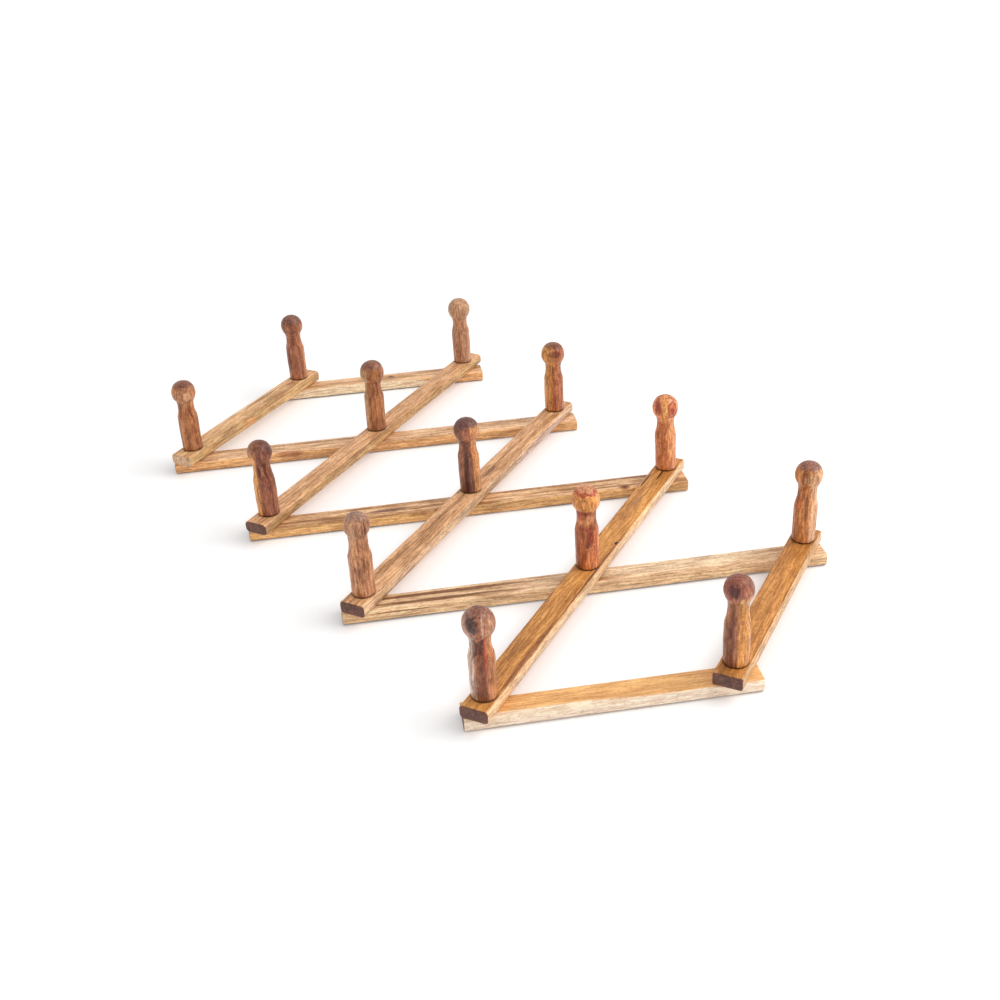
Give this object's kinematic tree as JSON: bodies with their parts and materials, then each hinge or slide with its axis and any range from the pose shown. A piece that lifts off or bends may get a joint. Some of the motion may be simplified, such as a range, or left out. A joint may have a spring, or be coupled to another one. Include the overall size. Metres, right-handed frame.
{
  "type": "expanding peg rack",
  "caption": "Folding accordion rack of crossed wooden slats pinned into a row of diamonds, with a ball-headed turned peg standing on every pivot.",
  "frame": {"origin": "under the axis of the middle peg, on the plane of the rear slats' backs, which the rack lies on", "axes": "+Z is out of the wall, the way the pegs point; +X runs along the row of diamonds, the way the rack expands; +Y runs across it"},
  "size_m": [0.6184, 0.324, 0.0836],
  "materials": {
    "front_slat_wood": "oiled, satin, golden brown with darker streaks",
    "rear_slat_wood": "oiled, satin, golden brown with pale sapwood on some edges",
    "peg_wood": "turned and oiled heartwood, red-brown, satin",
    "plated_steel": "zinc plated, slightly dull"
  },
  "bodies": {
    "rear_3": {"rear_slat_3": "rear_slat_wood"},
    "rear_1": {"rear_slat_1": "rear_slat_wood"},
    "rear_2": {"rear_slat_2": "rear_slat_wood"},
    "rear_4": {"rear_slat_4": "rear_slat_wood"},
    "rear_5": {"rear_slat_5": "rear_slat_wood"},
    "front_1": {"front_slat_1": "front_slat_wood", "peg_1": "peg_wood", "washer_1": "plated_steel", "screw_1": "plated_steel", "peg_2": "peg_wood", "washer_2": "plated_steel", "screw_2": "plated_steel"},
    "front_2": {"front_slat_2": "front_slat_wood", "peg_5": "peg_wood", "washer_5": "plated_steel", "screw_5": "plated_steel", "peg_4": "peg_wood", "washer_4": "plated_steel", "screw_4": "plated_steel", "peg_3": "peg_wood", "washer_3": "plated_steel", "screw_3": "plated_steel"},
    "front_3": {"front_slat_3": "front_slat_wood", "peg_8": "peg_wood", "washer_8": "plated_steel", "screw_8": "plated_steel", "peg_7": "peg_wood", "washer_7": "plated_steel", "screw_7": "plated_steel", "peg_6": "peg_wood", "washer_6": "plated_steel", "screw_6": "plated_steel"},
    "front_4": {"front_slat_4": "front_slat_wood", "peg_11": "peg_wood", "washer_11": "plated_steel", "screw_11": "plated_steel", "peg_10": "peg_wood", "washer_10": "plated_steel", "screw_10": "plated_steel", "peg_9": "peg_wood", "washer_9": "plated_steel", "screw_9": "plated_steel"},
    "front_5": {"front_slat_5": "front_slat_wood", "peg_13": "peg_wood", "washer_13": "plated_steel", "screw_13": "plated_steel", "peg_12": "peg_wood", "washer_12": "plated_steel", "screw_12": "plated_steel"}
  },
  "joints": [
    {"name": "pivot_7", "type": "hinge", "parent": "rear_3", "child": "front_3", "pos_m": [0, 0, 0.0097], "axis": [0, 0, 1], "range_deg": [-46.4, 117.6]},
    {"name": "pivot_5", "type": "hinge", "parent": "rear_3", "child": "front_2", "pos_m": [-0.07314, -0.14231, 0.0097], "axis": [0, 0, 1], "range_deg": [-46.4, 117.6]},
    {"name": "pivot_9", "type": "hinge", "parent": "rear_3", "child": "front_4", "pos_m": [0.07314, 0.14231, 0.0097], "axis": [0, 0, 1], "range_deg": [-46.4, 117.6]},
    {"name": "pivot_4", "type": "hinge", "parent": "front_2", "child": "rear_2", "pos_m": [-0.14627, 0, 0.0097], "axis": [0, 0, 1], "range_deg": [-117.6, 46.4]},
    {"name": "pivot_3", "type": "hinge", "parent": "front_2", "child": "rear_1", "pos_m": [-0.21941, 0.14231, 0.0097], "axis": [0, 0, 1], "range_deg": [-117.6, 46.4]},
    {"name": "pivot_10", "type": "hinge", "parent": "front_4", "child": "rear_4", "pos_m": [0.14627, 0, 0.0097], "axis": [0, 0, 1], "range_deg": [-117.6, 46.4]},
    {"name": "pivot_11", "type": "hinge", "parent": "front_4", "child": "rear_5", "pos_m": [0.21941, -0.14231, 0.0097], "axis": [0, 0, 1], "range_deg": [-117.6, 46.4]},
    {"name": "pivot_1", "type": "hinge", "parent": "rear_2", "child": "front_1", "pos_m": [-0.21941, -0.14231, 0.0097], "axis": [0, 0, 1], "range_deg": [-46.4, 117.6]},
    {"name": "pivot_12", "type": "hinge", "parent": "rear_4", "child": "front_5", "pos_m": [0.21941, 0.14231, 0.0097], "axis": [0, 0, 1], "range_deg": [-46.4, 117.6]}
  ],
  "couplings": [
    {"joint": "pivot_5", "follows": "pivot_7", "ratio": 1},
    {"joint": "pivot_9", "follows": "pivot_7", "ratio": 1},
    {"joint": "pivot_4", "follows": "pivot_7", "ratio": -1},
    {"joint": "pivot_3", "follows": "pivot_7", "ratio": -1},
    {"joint": "pivot_10", "follows": "pivot_7", "ratio": -1},
    {"joint": "pivot_11", "follows": "pivot_7", "ratio": -1},
    {"joint": "pivot_1", "follows": "pivot_7", "ratio": 1},
    {"joint": "pivot_12", "follows": "pivot_7", "ratio": 1}
  ]
}
